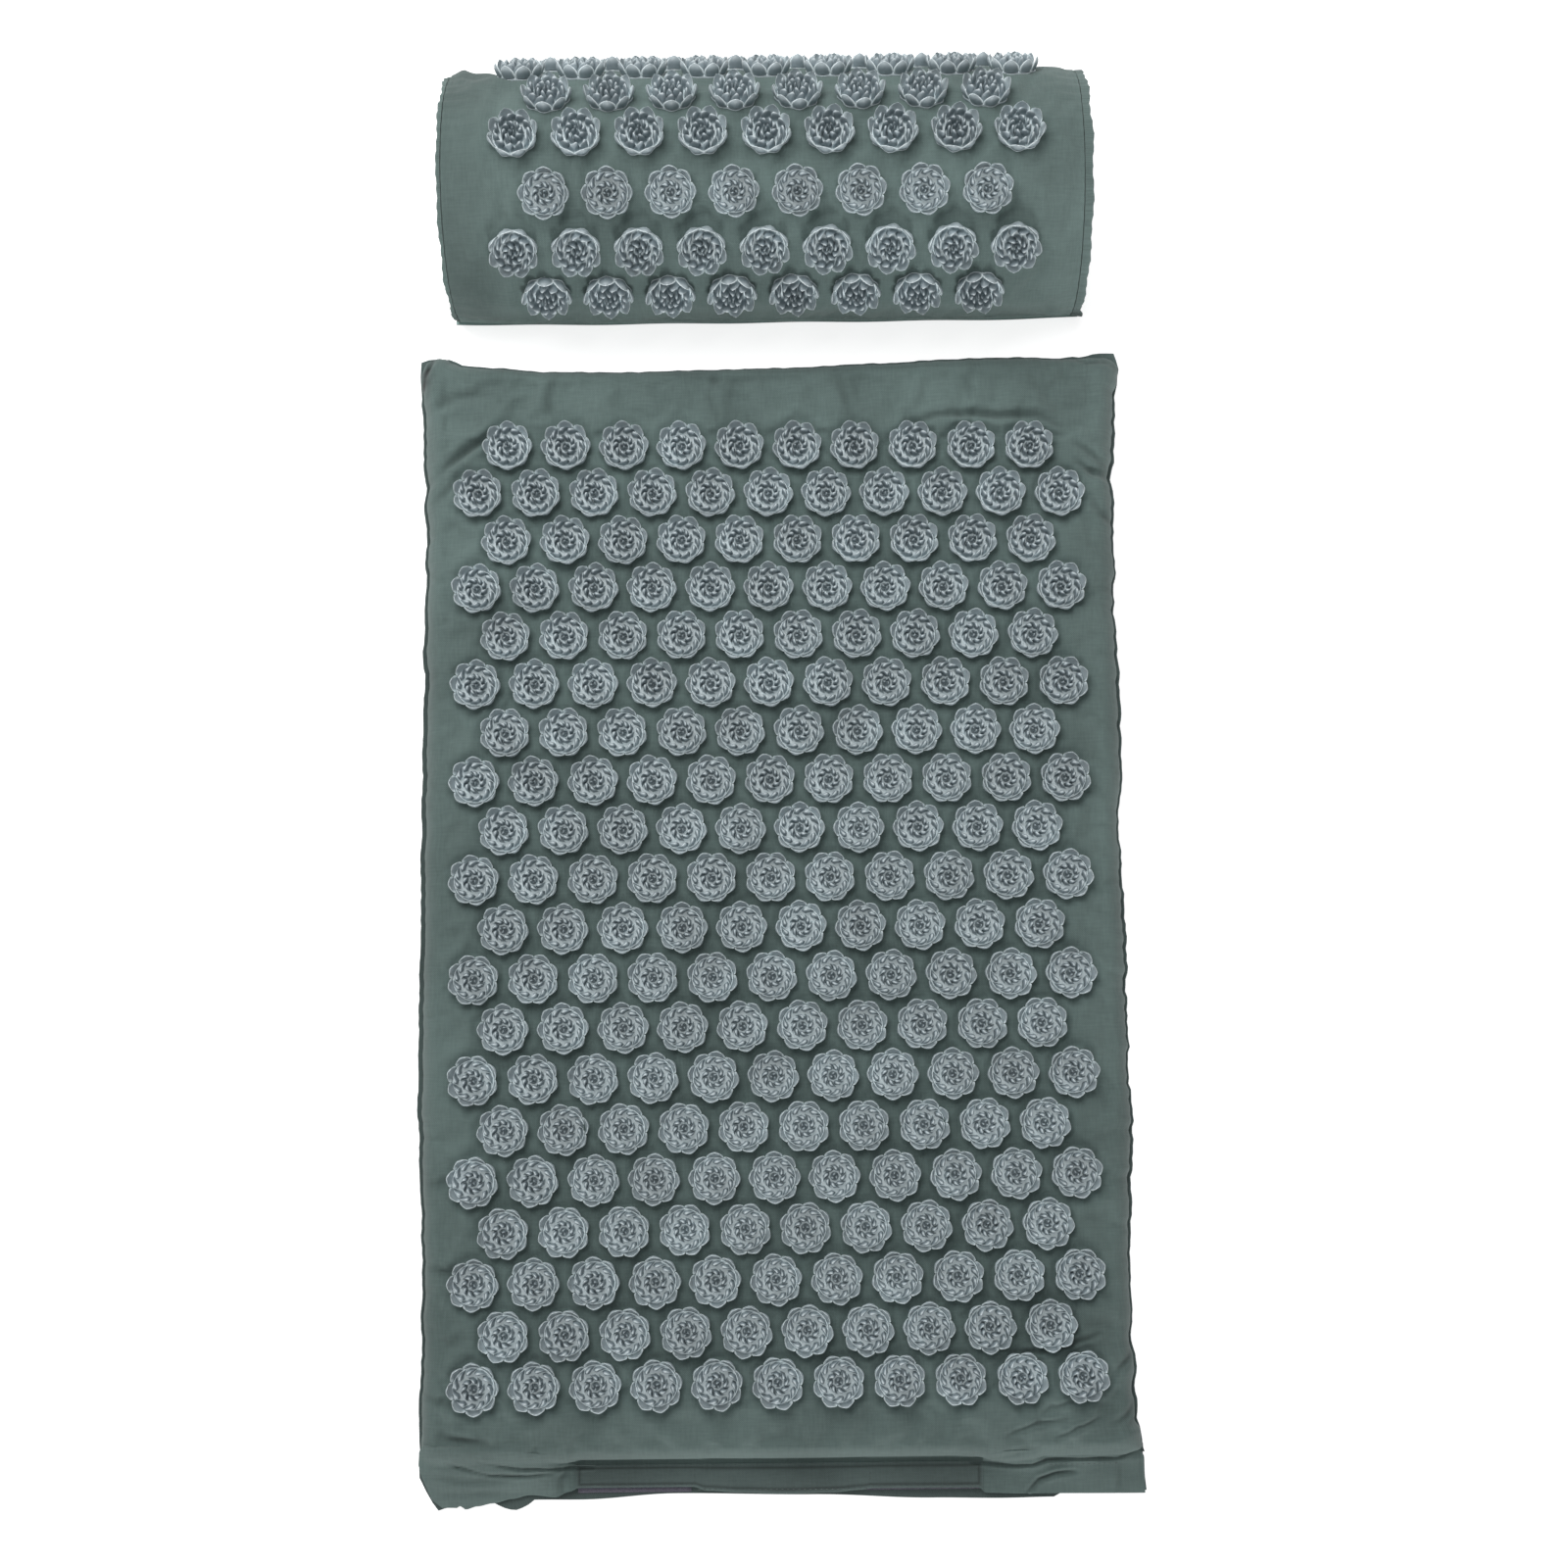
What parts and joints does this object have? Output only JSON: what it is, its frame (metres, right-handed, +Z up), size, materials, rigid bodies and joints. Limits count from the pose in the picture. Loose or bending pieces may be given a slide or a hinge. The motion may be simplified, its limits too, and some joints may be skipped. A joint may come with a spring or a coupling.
{
  "type": "acupressure mat",
  "caption": "Foam-filled cloth mat and half-moon neck pillow, both set with staggered rows of plastic spike discs and closed by hinged hook-and-loop lips.",
  "frame": {"origin": "on the floor at the middle of the set's footprint", "axes": "+Z up, +Y from the mat's closed foot edge towards the pillow, +X to the right as seen from the foot"},
  "size_m": [0.4284, 0.8651, 0.1087],
  "materials": {
    "cotton_cover": "woven matt",
    "cotton_underside": "woven matt",
    "foam": "open-cell foam",
    "hook_tape": "hook pile",
    "loop_tape": "loop pile"
  },
  "bodies": {
    "mat_and_pillow": {"mat_top_panel": "cotton_cover", "mat_bottom_panel": "cotton_underside", "mat_foam_core": "foam", "mat_loop_tape_left": "loop_tape", "mat_loop_tape_right": "loop_tape", "pillow_wrap_panel": "cotton_cover", "pillow_base_panel": "cotton_underside", "pillow_end_left": "cotton_cover", "pillow_end_right": "cotton_cover", "pillow_foam_core": "foam", "pillow_loop_tape_left": "loop_tape", "pillow_loop_tape_right": "loop_tape"},
    "mat_closure": {"mat_closure_flap": "cotton_cover", "mat_hook_tape_left": "hook_tape", "mat_hook_tape_right": "hook_tape"},
    "pillow_closure": {"pillow_closure_flap": "cotton_cover", "pillow_hook_tape_left": "hook_tape", "pillow_hook_tape_right": "hook_tape"}
  },
  "joints": [
    {"name": "mat_closure_hinge", "type": "hinge", "parent": "mat_and_pillow", "child": "mat_closure", "pos_m": [0, -0.41358, 0.0061], "axis": [-1, 0, 0], "range_deg": [0, 100]},
    {"name": "pillow_closure_hinge", "type": "hinge", "parent": "mat_and_pillow", "child": "pillow_closure", "pos_m": [0, 0.42395, 0.0015], "axis": [-1, 0, 0], "range_deg": [0, 75]}
  ]
}
